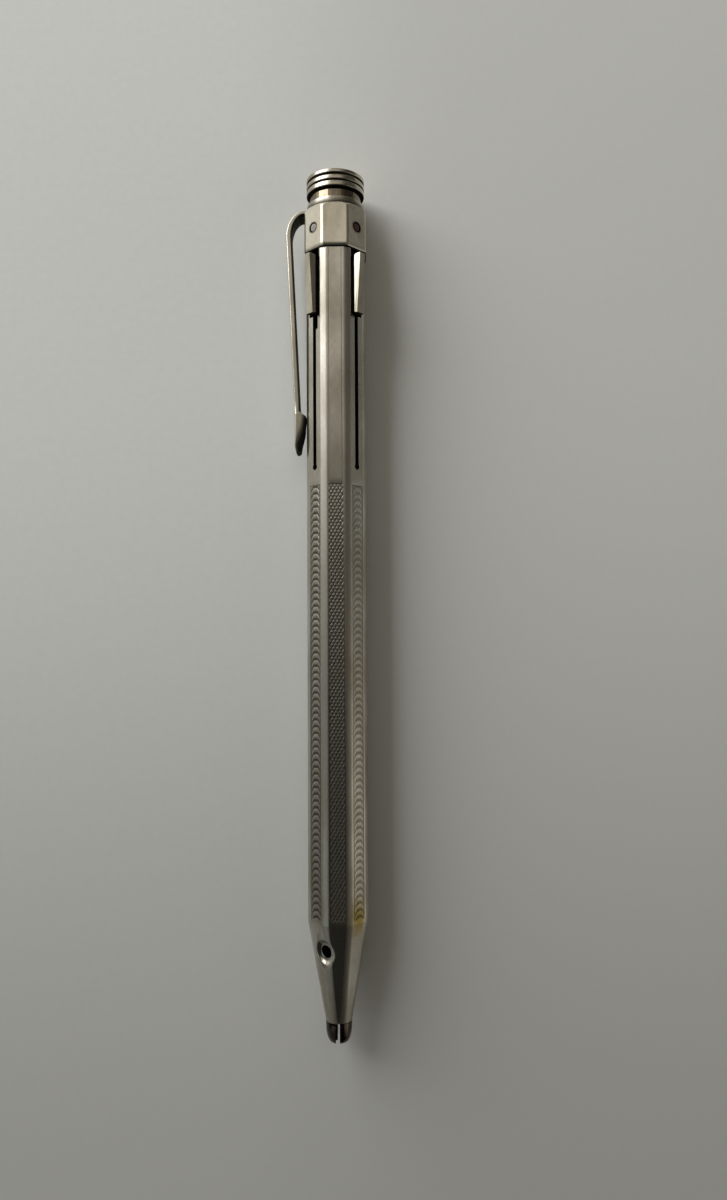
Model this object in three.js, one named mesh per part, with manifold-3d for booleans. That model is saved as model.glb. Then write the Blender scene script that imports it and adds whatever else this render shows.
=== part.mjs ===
import * as THREE from 'three';
import { mergeVertices } from 'three/addons/utils/BufferGeometryUtils.js';
import Module from 'manifold-3d';

// A clutch pencil for four coloured leads, lying on its back.
// Its eight-sided barrel has a lead slider on every second face. A push cap opens two jaws at the tip.
// Lengths are millimetres. The pencil lies along Y with its tip towards -Y, and its front face looks up, +Z.
// A value whose name ends in At is a station: its distance from the tip, measured along the pencil.

const wasm = await Module();
wasm.setup();

// Running and seating clearances
const slideGap = 0.07;
const seatGap = 0.05;
const jointGap = 0.1;
const looseGap = 0.25;
const stopGap = 0.3;

// Leads and their holders
const leadRadius = 0.59;
const leadCircle = 1.95;
const holderWall = 0.3;
const holderLength = 12;
const holderCrown = 0.8;
const holderRadius = leadRadius + slideGap + holderWall;
const faceAngles = [-45, 45, 135, -135];
const leadColours = [0x3a3a3c, 0xa3211c, 0x24407e, 0x2c6a3c];

// Radii from the lead holders outwards
const sleeveWall = 0.3;
const neckStep = 0.32;
const spigotWall = 0.18;
const collarWall = 0.43;
const collarOverhang = 0.225;
const capOverhang = 0.505;
const ringLip = 0.36;
const sleeveBore = leadCircle + holderRadius + looseGap;
const sleeveRadius = sleeveBore + sleeveWall;
const boreRadius = sleeveRadius + 2 * slideGap;
const neckRadius = sleeveRadius + neckStep;
const ringBore = neckRadius + slideGap;
const spigotRadius = ringBore + spigotWall;
const collarBore = spigotRadius + seatGap;
const tenonRadius = collarBore - jointGap;
const collarFlat = collarBore + collarWall;
const barrelFlat = collarFlat - collarOverhang;
const capRadius = neckRadius + capOverhang;
const ringRadius = ringBore + ringLip;

// How the eight corners are softened, and the collar's turned top edge
const flats = 8;
const cornerFactor = 1 / Math.cos(Math.PI / flats);
const barrelTurnOff = 0.12;
const collarTurnOff = 0.06;
const collarChamfer = 0.45;

// Jaws, nose and funnel
const headLength = 2.98;
const headRoundLength = 2.44;
const headRadius = 1.875;
const headBack = 0.5;
const jawTipRadius = 0.98;
const jawSlit = 0.3;
const jawNotch = 0.28;
const jawNotchLength = 0.75;
const armRadius = 1.25;
const armLength = 8.6;
const rimRadius = 1.85;
const rimWall = 0.25;
const noseLength = 14.27;
const stemLength = 1.5;
const funnelLength = 6.5;
const funnelWall = 0.2;
const funnelNeckLength = 1.1;
const funnelDrop = 0.9;
const flangeHeight = 0.7;
const spigotLength = 3;
const guideLength = 3;

// The dished hole punched through the nose
const holeRise = 10.3;
const holeRadius = 0.75;
const holeAngle = -25;
const dimpleRadius = 1.35;
const dimpleDepth = 0.3;

// Return spring
const springLength = 18;
const springTurns = 9;
const wireRadius = 0.2;
const wireSides = 5;
const stepsPerTurn = 8;

// Lengths above the nose
const barrelLength = 96.5;
const collarLength = 6.5;
const ringHeight = 1;
const ringSpigotLength = 1.1;
const pressGap = 1.45;
const plungerTravel = 1.2;
const neckEngagement = 0.6;
const capHeight = 2.55;
const capSpigotLength = 3.4;
const capUndercut = 0.3;
const ribHeights = [0.62, 0.68, 0.78];
const ribGrooves = [0.28, 0.19];
const ribGrooveDepth = 0.35;

// Sliders and the openings that they run in
const sliderLength = 8.75;
const sliderDrop = 0.9;
const sliderHalfWidth = 0.83;
const sliderCrownHalfWidth = 0.47;
const sliderHeight = 1.375;
const sliderEdge = 0.515;
const sliderFootHalfWidth = 0.35;
const sliderLift = 0.125;
const sliderFall = 0.43;
const sliderTopCorner = 0.4;
const sliderEndCorner = 0.15;
const stemHalfWidth = 0.24;
const stemInset = 0.35;
const stemTopInset = 0.6;
const sliderTravel = 22.5;
const slotHalfWidth = stemHalfWidth + slideGap;
const slotRunOut = 0.6;
const slotReliefRadius = 0.45;
const windowHalfWidth = 1.05;
const windowUnderCollar = 0.5;
const assemblyNotchLength = 1.95;
const assemblyNotchWidth = 0.4;
const sleeveSlotHalfWidth = 0.45;

// Colour dots let into the collar
const dotRadius = 0.68;
const dotSunk = 0.05;

// Clip: a spring strip that ends in a wider boat-shaped foot
const clipWidth = 3.5;
const clipRootThickness = 0.55;
const clipArmThickness = 0.85;
const clipReach = 7.3;
const clipBendHeight = 3.85;
const clipBelowCollarTop = 0.05;
const clipArmLength = 26.8;
const clipArmLean = 1.25;
const footWidth = 4.1;
const footRise = 1.1;
const footBearing = 1.9;
const footLength = 5.45;
const footUndercut = 1.1;
const toeLength = 1.1;
const toeWidth = 2.9;
const toeSetback = 0.2;
const toeLift = 0.62;
const keelWidth = 1.2;
const keelLift = 0.27;

// Stations from the tip
const rimAt = headLength + seatGap;
const coneStartAt = rimAt + noseLength;
const jawRootAt = rimAt + armLength;
const funnelEndAt = jawRootAt + stopGap;
const throatAt = funnelEndAt + stemLength;
const mouthAt = throatAt + funnelLength;
const shoulderAt = mouthAt - funnelDrop;
const flangeAt = shoulderAt + springLength;
const sleeveEndAt = flangeAt + flangeHeight + looseGap;
const guideAt = sleeveEndAt + spigotLength + looseGap;
const barrelTopAt = coneStartAt + barrelLength;
const collarAt = barrelTopAt + jointGap;
const dotAt = collarAt + collarLength / 2;
const collarTopAt = collarAt + collarLength;
const ringAt = collarTopAt + jointGap;
const ringTopAt = ringAt + ringHeight;
const capAt = ringTopAt + pressGap;
const capTopAt = capAt + capHeight;
const neckAt = ringAt - neckEngagement;
const tenonTopAt = neckAt - plungerTravel - stopGap;
const sliderTopAt = collarAt - sliderDrop;
const sliderEndAt = sliderTopAt - sliderLength;
const stemTopAt = sliderTopAt - stemTopInset;
const stemEndAt = sliderEndAt + stemInset;
const windowEndAt = sliderEndAt - looseGap;
const slotEndAt = stemEndAt - sliderTravel - slotRunOut;
const leadTipAt = mouthAt + sliderTravel + jointGap;
const clipTopAt = collarTopAt - clipBelowCollarTop;
const clipArmTopAt = clipTopAt - clipBendHeight;
const clipArmEndAt = clipArmTopAt - clipArmLength;

const funnelBore = leadCircle + leadRadius + seatGap;
const funnelRadius = funnelBore + funnelWall;
const shoulderRadius = funnelRadius + looseGap;
const throatRadius = leadRadius + jointGap;
const coilRadius = boreRadius - jointGap - wireRadius;

// Smoothness of round work
const roundSides = 48;
const smallSides = 16;
const bendSteps = 8;
const cornerSteps = 4;
const beyond = 1;

const silver = { color: 0xbab5a8, roughness: 0.28, metalness: 1 };
const darkSteel = { color: 0x4b4640, roughness: 0.35, metalness: 1 };
const springSteel = { color: 0x8d8f92, roughness: 0.35, metalness: 1 };
const brass = { color: 0xb08d4c, roughness: 0.4, metalness: 1 };

// Turns a closed three.js geometry into a solid that can be cut and joined.
function solid(geometry) {
  const bare = geometry.clone();
  bare.deleteAttribute('normal');
  bare.deleteAttribute('uv');
  const merged = mergeVertices(bare);
  const index = merged.index.array;
  const triangles = [];
  for (let i = 0; i < index.length; i += 3) {
    const [a, b, c] = [index[i], index[i + 1], index[i + 2]];
    if (a !== b && b !== c && c !== a) triangles.push(a, b, c);
  }
  return new wasm.Manifold(new wasm.Mesh({
    numProp: 3,
    vertProperties: new Float32Array(merged.attributes.position.array),
    triVerts: new Uint32Array(triangles),
  }));
}

function geometryOf(body) {
  const mesh = body.getMesh();
  const geometry = new THREE.BufferGeometry();
  geometry.setAttribute('position', new THREE.BufferAttribute(new Float32Array(mesh.vertProperties), 3));
  geometry.setIndex(new THREE.BufferAttribute(new Uint32Array(mesh.triVerts), 1));
  geometry.computeVertexNormals();
  return geometry;
}

// A body turned about the pencil's axis, from [radius, station] points listed from the tip end upwards.
function turned(points, sides = roundSides) {
  return solid(new THREE.LatheGeometry(points.map(([r, y]) => new THREE.Vector2(r, y)), sides));
}

// A turned body with a hole through it: the outside is listed upwards, and the inside comes back down.
function ring(outside, inside, sides = roundSides) {
  return turned([...outside, ...inside, outside[0]], sides);
}

// A body with eight flats, one of them facing +Z. Points are listed as for turned, with radii to the flats.
function eightSided(points) {
  const corners = points.map(([r, y]) => new THREE.Vector2(r * cornerFactor, y));
  return solid(new THREE.LatheGeometry(corners, flats, Math.PI / flats));
}

function block(x0, x1, y0, y1, z0, z1) {
  const geometry = new THREE.BoxGeometry(x1 - x0, y1 - y0, z1 - z0);
  geometry.translate((x0 + x1) / 2, (y0 + y1) / 2, (z0 + z1) / 2);
  return geometry;
}

// A round pin or drill that points outwards from the axis, at a station and between two radii.
function radialPin(radius, at, innerRadius, outerRadius, sides = smallSides) {
  const geometry = new THREE.CylinderGeometry(radius, radius, outerRadius - innerRadius, sides);
  geometry.rotateX(Math.PI / 2);
  geometry.translate(0, at, (innerRadius + outerRadius) / 2);
  return geometry;
}

// Turns a tool made for the front face round to another face.
function facing(geometry, degrees) {
  const copy = geometry.clone();
  copy.rotateY(THREE.MathUtils.degToRad(degrees));
  return solid(copy);
}

function extruded(points, depth) {
  const shape = new THREE.Shape(points.map(([x, y]) => new THREE.Vector2(x, y)));
  return new THREE.ExtrudeGeometry(shape, { depth, bevelEnabled: false });
}

// Points of an ellipse about a centre, from one angle to another in degrees.
function arc(centreX, centreY, radiusX, radiusY, from, to, steps) {
  const points = [];
  for (let i = 0; i <= steps; i += 1) {
    const angle = THREE.MathUtils.degToRad(from + (to - from) * i / steps);
    points.push([centreX + radiusX * Math.cos(angle), centreY + radiusY * Math.sin(angle)]);
  }
  return points;
}

// Barrel: eight flats, a tapered nose whose flats fade to a round rim, and a turned tenon inside the collar.
function barrelOutside() {
  const turnedRadius = barrelFlat * cornerFactor - barrelTurnOff;
  const faceted = eightSided([
    [0, rimAt], [rimRadius, rimAt], [barrelFlat, coneStartAt], [barrelFlat, tenonTopAt], [0, tenonTopAt],
  ]);
  const envelope = turned([
    [0, rimAt], [rimRadius, rimAt], [turnedRadius, coneStartAt], [turnedRadius, barrelTopAt],
    [tenonRadius, barrelTopAt], [tenonRadius, tenonTopAt], [0, tenonTopAt],
  ]);
  return faceted.intersect(envelope);
}

function barrelBore() {
  return turned([
    [0, rimAt - beyond], [rimRadius - rimWall, rimAt - beyond], [rimRadius - rimWall, rimAt],
    [shoulderRadius, shoulderAt], [boreRadius, shoulderAt], [boreRadius, tenonTopAt + beyond],
    [0, tenonTopAt + beyond],
  ]);
}

// The window that the slider rests over, the slot below it and the round relief at the slot's end.
function sliderOpening(degrees) {
  const inner = boreRadius - beyond;
  const outer = barrelFlat + beyond;
  const windowTopAt = barrelTopAt + windowUnderCollar;
  const reliefAt = slotEndAt + slotReliefRadius;
  const window = block(-windowHalfWidth, windowHalfWidth, windowEndAt, windowTopAt, inner, outer);
  const slot = block(-slotHalfWidth, slotHalfWidth, reliefAt, windowEndAt + seatGap, inner, outer);
  const relief = radialPin(slotReliefRadius, reliefAt, inner, outer);
  return facing(window, degrees).add(facing(slot, degrees)).add(facing(relief, degrees));
}

// The first slot is wider just below its window, on the side towards the front face.
function assemblyNotch() {
  const tool = block(
    0, slotHalfWidth + assemblyNotchWidth, windowEndAt - assemblyNotchLength, windowEndAt + seatGap,
    boreRadius - beyond, barrelFlat + beyond,
  );
  return facing(tool, faceAngles[0]);
}

function noseHole() {
  const at = rimAt + holeRise;
  const surface = rimRadius + (barrelFlat - rimRadius) * holeRise / noseLength;
  const ball = (dimpleRadius ** 2 + dimpleDepth ** 2) / (2 * dimpleDepth);
  const dish = new THREE.SphereGeometry(ball, roundSides, smallSides);
  dish.translate(0, at, surface - dimpleDepth + ball);
  const drill = radialPin(holeRadius, at, rimRadius - rimWall, surface + beyond);
  return facing(dish, holeAngle).add(facing(drill, holeAngle));
}

function barrel() {
  const openings = faceAngles.map(sliderOpening).reduce((all, one) => all.add(one));
  const cuts = [barrelBore(), openings, assemblyNotch(), noseHole()];
  return cuts.reduce((body, cut) => body.subtract(cut), barrelOutside());
}

// Collar: eight-sided, turned to a circle at its top edge, drilled for the dots and notched for the clip.
function collar() {
  const corner = collarFlat * cornerFactor - collarTurnOff;
  const faceted = eightSided([
    [0, collarAt], [collarFlat, collarAt], [collarFlat, collarTopAt], [0, collarTopAt],
  ]);
  const outside = faceted.intersect(turned([
    [0, collarAt], [corner, collarAt], [corner, collarTopAt - collarChamfer], [collarFlat, collarTopAt],
    [0, collarTopAt],
  ]));
  const bore = turned([
    [0, collarAt - beyond], [collarBore, collarAt - beyond], [collarBore, collarTopAt + beyond],
    [0, collarTopAt + beyond],
  ]);
  const drill = radialPin(dotRadius + seatGap, dotAt, collarBore - beyond, collarFlat + beyond);
  const dotHoles = faceAngles.map((degrees) => facing(drill, degrees)).reduce((all, one) => all.add(one));
  const notchHalf = clipWidth / 2 + jointGap;
  const notchEndAt = clipTopAt - clipRootThickness - jointGap;
  const notch = solid(block(
    -collarFlat - beyond, -collarBore + jointGap, notchEndAt, collarTopAt + beyond, -notchHalf, notchHalf,
  ));
  return outside.subtract(bore).subtract(dotHoles).subtract(notch);
}

function colourDot() {
  return solid(radialPin(dotRadius, dotAt, tenonRadius + seatGap, collarFlat - dotSunk));
}

// Ring on top of the collar, with a spigot that goes down inside it and guides the neck.
function topRing() {
  return ring(
    [[ringBore, ringAt - ringSpigotLength], [spigotRadius, ringAt - ringSpigotLength], [spigotRadius, ringAt],
      [ringRadius, ringAt], [ringRadius, ringTopAt]],
    [[ringBore, ringTopAt]],
  );
}

// Push cap: three turned ribs over a spigot that closes the sleeve.
function pushCap() {
  const grooveRadius = capRadius - ribGrooveDepth;
  const outline = [[0, capAt - capSpigotLength], [sleeveBore - seatGap, capAt - capSpigotLength]];
  outline.push([sleeveBore - seatGap, capAt]);
  let at = capTopAt - ribHeights[0] - ribHeights[1] - ribHeights[2] - ribGrooves[0] - ribGrooves[1];
  for (const i of [2, 1, 0]) {
    outline.push([capRadius, at]);
    at += ribHeights[i];
    outline.push([capRadius, at]);
    if (i > 0) {
      outline.push([grooveRadius, at]);
      at += ribGrooves[i - 1];
      outline.push([grooveRadius, at]);
    }
  }
  outline.push([0, capTopAt]);
  return turned(outline);
}

// Sleeve that joins the cap to the jaws. Its thicker top is the neck seen under the cap.
function plungerSleeve() {
  const topAt = capAt - capUndercut;
  const tube = ring(
    [[sleeveBore, sleeveEndAt], [sleeveRadius, sleeveEndAt], [sleeveRadius, neckAt], [neckRadius, neckAt],
      [neckRadius, topAt]],
    [[sleeveBore, topAt]],
  );
  const slot = block(
    -sleeveSlotHalfWidth, sleeveSlotHalfWidth, slotEndAt, stemTopAt + plungerTravel + stopGap,
    leadCircle, boreRadius + beyond,
  );
  return faceAngles.reduce((body, degrees) => body.subtract(facing(slot, degrees)), tube);
}

// Funnel that leads every lead to the middle. Its flange takes the spring and its spigot enters the sleeve.
function leadFunnel() {
  const flangeTopAt = flangeAt + flangeHeight;
  const spigotOutside = sleeveBore - seatGap;
  const coneLowAt = funnelEndAt + funnelNeckLength;
  const coneTopAt = mouthAt - stopGap;
  return ring(
    [[throatRadius, funnelEndAt], [armRadius, funnelEndAt], [armRadius, coneLowAt], [funnelRadius, coneTopAt],
      [funnelRadius, flangeAt], [sleeveRadius, flangeAt], [sleeveRadius, flangeTopAt],
      [spigotOutside, flangeTopAt], [spigotOutside, sleeveEndAt + spigotLength]],
    [[funnelBore, sleeveEndAt + spigotLength], [funnelBore, mouthAt], [throatRadius, throatAt]],
  );
}

// Disc with four holes that keeps the leads apart above the funnel.
function leadGuide() {
  const disc = turned([
    [0, guideAt], [sleeveBore - seatGap, guideAt], [sleeveBore - seatGap, guideAt + guideLength],
    [0, guideAt + guideLength],
  ]);
  const holeLength = guideLength + 2 * beyond;
  const passRadius = leadRadius + slideGap;
  const hole = new THREE.CylinderGeometry(passRadius, passRadius, holeLength, smallSides);
  hole.translate(0, guideAt + guideLength / 2, leadCircle);
  return faceAngles.reduce((body, degrees) => body.subtract(facing(hole, degrees)), disc);
}

// Both jaws are cut from one turned body: a thin arm, a seat under the nose rim and a rounded head.
function jawBlank() {
  const seat = rimRadius - rimWall - jointGap;
  const head = arc(
    jawTipRadius, headRoundLength, headRadius - jawTipRadius, headRoundLength, -90, 0, bendSteps,
  );
  return ring(
    [[throatRadius, 0], ...head, [headRadius, headLength], [seat, headLength],
      [armRadius, headLength + headBack], [armRadius, jawRootAt]],
    [[throatRadius, jawRootAt]],
  );
}

function jaw(side) {
  const outer = side * (headRadius + beyond);
  const inner = side * jawSlit / 2;
  const half = block(
    Math.min(outer, inner), Math.max(outer, inner), -beyond, jawRootAt + beyond,
    -headRadius - beyond, headRadius + beyond,
  );
  const body = jawBlank().intersect(solid(half));
  if (side > 0) return body;
  const nick = block(
    -jawSlit / 2 - jawNotch, 0, -beyond, jawNotchLength, -headRadius - beyond, headRadius + beyond,
  );
  return body.subtract(solid(nick));
}

// Return spring: one unbroken helix round the funnel.
class Helix extends THREE.Curve {
  constructor(radius, lowAt, topAt, turns) {
    super();
    Object.assign(this, { radius, lowAt, topAt, turns });
  }

  getPoint(t) {
    const angle = 2 * Math.PI * this.turns * t;
    const height = this.lowAt + (this.topAt - this.lowAt) * t;
    return new THREE.Vector3(this.radius * Math.sin(angle), height, this.radius * Math.cos(angle));
  }
}

function returnSpring() {
  const lowAt = shoulderAt + wireRadius + jointGap;
  const topAt = flangeAt - wireRadius - jointGap;
  const path = new Helix(coilRadius, lowAt, topAt, springTurns);
  const rim = arc(0, 0, wireRadius, wireRadius, 0, 360, wireSides).slice(1);
  const section = new THREE.Shape(rim.map(([x, y]) => new THREE.Vector2(x, y)));
  return solid(new THREE.ExtrudeGeometry(section, {
    steps: springTurns * stepsPerTurn,
    extrudePath: path,
    bevelEnabled: false,
  }));
}

// Slider, made for the front face: a thumb piece with steep sides whose crown falls towards the tip, and its stem.
function slider() {
  const under = barrelFlat + sliderLift;
  const edge = barrelFlat + sliderEdge;
  const crown = barrelFlat + sliderHeight;
  const section = extruded([
    [-sliderFootHalfWidth, under], [sliderFootHalfWidth, under], [sliderHalfWidth, edge],
    [sliderCrownHalfWidth, crown], [-sliderCrownHalfWidth, crown], [-sliderHalfWidth, edge],
  ], sliderLength + 2 * beyond);
  section.rotateX(Math.PI / 2);
  section.translate(0, sliderTopAt + beyond, 0);
  const fallBeyond = sliderFall * beyond / sliderLength;
  const side = extruded([
    [under, sliderEndAt - beyond], [crown - sliderFall - fallBeyond, sliderEndAt - beyond],
    [crown + fallBeyond, sliderTopAt + beyond], [under, sliderTopAt + beyond],
  ], 2 * sliderHalfWidth);
  side.rotateY(-Math.PI / 2);
  side.translate(sliderHalfWidth, 0, 0);
  const endX = sliderHalfWidth - sliderEndCorner;
  const topX = sliderHalfWidth - sliderTopCorner;
  const endY = sliderEndAt + sliderEndCorner;
  const topY = sliderTopAt - sliderTopCorner;
  const plan = extruded([
    ...arc(-endX, endY, sliderEndCorner, sliderEndCorner, 180, 270, cornerSteps),
    ...arc(endX, endY, sliderEndCorner, sliderEndCorner, 270, 360, cornerSteps),
    ...arc(topX, topY, sliderTopCorner, sliderTopCorner, 0, 90, cornerSteps),
    ...arc(-topX, topY, sliderTopCorner, sliderTopCorner, 90, 180, cornerSteps),
  ], crown);
  plan.translate(0, 0, under);
  const stemInner = leadCircle + holderRadius + seatGap;
  const stem = block(-stemHalfWidth, stemHalfWidth, stemEndAt, stemTopAt, stemInner, under + sliderLift);
  return solid(section).intersect(solid(side)).intersect(solid(plan)).add(solid(stem));
}

// Lead holder, made for the front face: a tube with a closed crown that grips the end of a lead.
function leadHolder() {
  const lowAt = stemTopAt - holderLength;
  const gripRadius = leadRadius + slideGap;
  const body = turned([
    [0, stemTopAt - holderCrown], [gripRadius, stemTopAt - holderCrown], [gripRadius, lowAt],
    [holderRadius, lowAt], [holderRadius, stemTopAt], [0, stemTopAt],
  ], smallSides);
  return body.translate([0, 0, leadCircle]);
}

function lead() {
  const topAt = stemTopAt - holderCrown - looseGap;
  const geometry = new THREE.CylinderGeometry(leadRadius, leadRadius, topAt - leadTipAt, smallSides);
  geometry.translate(0, (leadTipAt + topAt) / 2, leadCircle);
  return solid(geometry);
}

// The clip's strip, as distances to the left of the axis against stations.
function clipArmOutline() {
  const rootX = collarBore + seatGap / 2;
  const bendX = collarFlat + jointGap;
  const outerEndX = clipReach - clipArmLean;
  const innerRadius = clipReach - clipArmThickness - bendX;
  const innerHeight = clipBendHeight - clipRootThickness;
  const outer = arc(bendX, clipArmTopAt, clipReach - bendX, clipBendHeight, 90, 0, bendSteps);
  const inner = arc(bendX, clipArmTopAt, innerRadius, innerHeight, 0, 90, bendSteps);
  return [
    [rootX, clipTopAt], ...outer, [outerEndX, clipArmEndAt], [outerEndX - clipArmThickness, clipArmEndAt],
    ...inner, [rootX, clipTopAt - clipRootThickness],
  ];
}

// The foot is shaped like a boat: its keel bears on the barrel, and its toe leans away again.
// Each row is a distance to the left of the axis, a station and the foot's width there.
function clipFoot() {
  const outer = clipReach - clipArmLean;
  const contact = barrelFlat + seatGap;
  const toeAt = clipArmEndAt - footLength;
  const toeStartAt = toeAt + toeLength;
  const rows = [
    [outer, clipArmEndAt + footRise, footWidth],
    [contact, clipArmEndAt, footWidth],
    [contact, clipArmEndAt - footBearing, keelWidth],
    [outer, toeStartAt, footWidth],
    [contact + footUndercut, toeStartAt, footWidth],
    [contact + keelLift, toeStartAt, keelWidth],
    [outer - toeSetback, toeAt, toeWidth],
    [contact + footUndercut, toeAt, toeWidth],
    [contact + toeLift, toeAt, keelWidth],
  ];
  return wasm.Manifold.hull(rows.flatMap(([x, y, width]) => [[-x, y, -width / 2], [-x, y, width / 2]]));
}

function clip() {
  const outline = clipArmOutline().map(([x, y]) => [-x, y]);
  const arm = extruded(outline, clipWidth);
  arm.translate(0, 0, -clipWidth / 2);
  return solid(arm).add(clipFoot());
}

const pencil = new THREE.Group();

function put(name, body, finish, degrees = 0) {
  const mesh = new THREE.Mesh(geometryOf(body), new THREE.MeshStandardMaterial(finish));
  mesh.name = name;
  mesh.rotation.y = THREE.MathUtils.degToRad(degrees);
  pencil.add(mesh);
}

put('barrel', barrel(), silver);
put('collar', collar(), silver);
put('top_ring', topRing(), silver);
put('clip', clip(), silver);
put('push_cap', pushCap(), silver);
put('plunger_sleeve', plungerSleeve(), silver);
put('lead_funnel', leadFunnel(), brass);
put('lead_guide', leadGuide(), brass);
put('jaw_left', jaw(-1), darkSteel);
put('jaw_right', jaw(1), darkSteel);
put('return_spring', returnSpring(), springSteel);

faceAngles.forEach((degrees, i) => {
  const colour = { color: leadColours[i], roughness: 0.6, metalness: 0 };
  put(`colour_dot_${i + 1}`, colourDot(), colour, degrees);
  put(`slider_${i + 1}`, slider(), silver, degrees);
  put(`lead_holder_${i + 1}`, leadHolder(), brass, degrees);
  put(`lead_${i + 1}`, lead(), colour, degrees);
});

// The origin lies on the barrel's back face, halfway between the tip and the cap.
pencil.position.set(0, -capTopAt / 2, barrelFlat);

export default pencil;
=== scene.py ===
"""Looks of the four-lead clutch pencil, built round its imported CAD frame.

Work here is in millimetres. A station is a distance from the pencil's tip, measured along the pencil.
Angles round the pencil are in degrees from its front face, which looks up, and grow towards +X.
"""
import math

import bmesh
import bpy
import numpy as np
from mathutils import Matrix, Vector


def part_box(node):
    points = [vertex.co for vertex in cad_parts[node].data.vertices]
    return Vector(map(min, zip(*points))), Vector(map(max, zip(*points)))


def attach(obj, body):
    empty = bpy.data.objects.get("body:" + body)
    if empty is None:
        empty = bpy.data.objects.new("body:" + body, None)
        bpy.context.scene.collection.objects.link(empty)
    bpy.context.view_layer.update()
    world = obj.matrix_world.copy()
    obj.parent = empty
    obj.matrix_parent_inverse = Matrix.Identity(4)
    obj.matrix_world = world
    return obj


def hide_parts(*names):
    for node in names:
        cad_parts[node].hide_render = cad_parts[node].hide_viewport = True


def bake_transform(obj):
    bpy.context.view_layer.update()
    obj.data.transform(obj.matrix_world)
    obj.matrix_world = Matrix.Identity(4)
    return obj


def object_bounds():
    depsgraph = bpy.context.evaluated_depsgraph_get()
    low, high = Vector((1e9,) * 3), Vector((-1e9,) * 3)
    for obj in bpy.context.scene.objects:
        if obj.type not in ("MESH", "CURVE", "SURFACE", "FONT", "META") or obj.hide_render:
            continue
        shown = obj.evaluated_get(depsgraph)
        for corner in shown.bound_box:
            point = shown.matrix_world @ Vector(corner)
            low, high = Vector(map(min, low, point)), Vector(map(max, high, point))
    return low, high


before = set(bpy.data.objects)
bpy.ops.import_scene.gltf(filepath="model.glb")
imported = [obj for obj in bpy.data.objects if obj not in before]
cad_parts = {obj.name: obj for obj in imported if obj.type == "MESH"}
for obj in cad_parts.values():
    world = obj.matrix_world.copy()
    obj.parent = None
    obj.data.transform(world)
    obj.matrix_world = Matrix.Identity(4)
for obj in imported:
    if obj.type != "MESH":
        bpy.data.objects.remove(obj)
cad_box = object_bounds()

MM = 0.001
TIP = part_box("jaw_left")[0].y
AXIS = (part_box("top_ring")[0].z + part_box("top_ring")[1].z) / 2
SLIDER_FACES = (-45, 45, 135, -135)


def ends(node):
    """The lowest and highest station of a CAD node."""
    return [(corner.y - TIP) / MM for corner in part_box(node)]


def half_across(node):
    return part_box(node)[1].x / MM


# Barrel and collar. A flat is the distance from the axis to a face, and a turned radius is the distance to a
# rounded corner.
SEAT_GAP = 0.05
JOINT_GAP = 0.1
RIM_AT, TENON_TOP_AT = ends("barrel")
COLLAR_AT, COLLAR_TOP_AT = ends("collar")
BARREL_TOP_AT = COLLAR_AT - JOINT_GAP
BARREL_FLAT = half_across("barrel")
COLLAR_FLAT = half_across("collar")
BARREL_TURN_OFF = 0.17
COLLAR_TURN_OFF = 0.06
CORNER = 1 / math.cos(math.radians(22.5))
BARREL_TURNED = BARREL_FLAT * CORNER - BARREL_TURN_OFF
COLLAR_TURNED = COLLAR_FLAT * CORNER - COLLAR_TURN_OFF
NOSE_LENGTH = 14.27
CONE_START_AT = RIM_AT + NOSE_LENGTH
RIM_RADIUS = 1.85
RIM_WALL = 0.25
BORE = 3.6
SHOULDER_AT = 19.03
SHOULDER_RADIUS = 3.04
TENON_RADIUS = 3.98
COLLAR_BORE = 4.08

# Openings in the barrel: slots that end in a round relief, windows for the sliders, and a notch by slot 1
SLOT_END_AT = 81.5
SLOT_HALF = 0.34
RELIEF = 0.45
RELIEF_AT = SLOT_END_AT + RELIEF
NOTCH_END_AT = 102.05
NOTCH_HALF = 0.71
WINDOW_END_AT = 104.0
WINDOW_TOP_AT = BARREL_TOP_AT + 0.5
WINDOW_HALF = 1.05

# The hole in the nose, and the leaf-shaped hollow and the cone round it
HOLE_RISE = 10.3
HOLE_AT = RIM_AT + HOLE_RISE
HOLE_ANGLE = -32
HOLE_RADIUS = 0.9
HOLE_STRETCH = 1.02
LEAF_DEPTH = 0.18
CONE_DEPTH = 0.42

# Engraving: the strips, and the lines beside them and on the bare panel above them
PITCH = 0.95
STRIP_LOW_AT = 17.85
STRIP_HIGH_AT = 79.2
STRIP_ROW = PITCH / 10
LINE = 0.925
LINE_WIDTH = 0.035
HOLLOW_DEPTH = 0.03
STEP_DEPTH = 0.012
FRAME_DEPTH = 0.05
WAVE_DEPTH = 0.04
LINE_DEPTH = 0.015
END_LINE_DEPTH = 0.03
FAINT_FACE = 45
FAINT = 0.6

# Small pieces
DOT_RADIUS = 0.58
DOT_HOLE_RADIUS = 0.73
DOT_SIDES = 40
WIRE_RADIUS = 0.2
WIRE_SIDES = 8
SPRING_TURNS = 9
STEPS_PER_TURN = 32
CLIP_ROOT_THICKNESS = 0.55
CLIP_SIDES = 64
CLIP_SHARPNESS = 6

# Looks
CORNER_WEAR = 0.13
SCRATCH = 0.12
SCRATCH_DEPTH = 0.00002
# Colour of grime in the engraving mixed with painted shade
GRIME_AND_SHADE_COLOUR = (0.04, 0.033, 0.024)
# Colour of painted shade on faces that look away from the light
PAINTED_SHADE_COLOUR = (0.02, 0.018, 0.015)
STAIN = (0.33, 0.25, 0.07)

# Camera, in the photograph's pixels, millimetres and degrees
SENSOR = 36
FOCAL_PIXELS = 933
PHOTO_HEIGHT = 1200
CAMERA_PLACE = (3.8, -6.98, 140.4)
CAMERA_TILT = 3
CAMERA_ROLL = -0.35

# Lamp, in metres, watts and degrees above the paper
LAMP_WIDTH = 0.68
LAMP_LENGTH = 1.55
LAMP_WATTS = 14.4
LAMP_DISTANCE = 0.72
LAMP_ALONG = 1.06
LAMP_LIFT = 35.5


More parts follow.
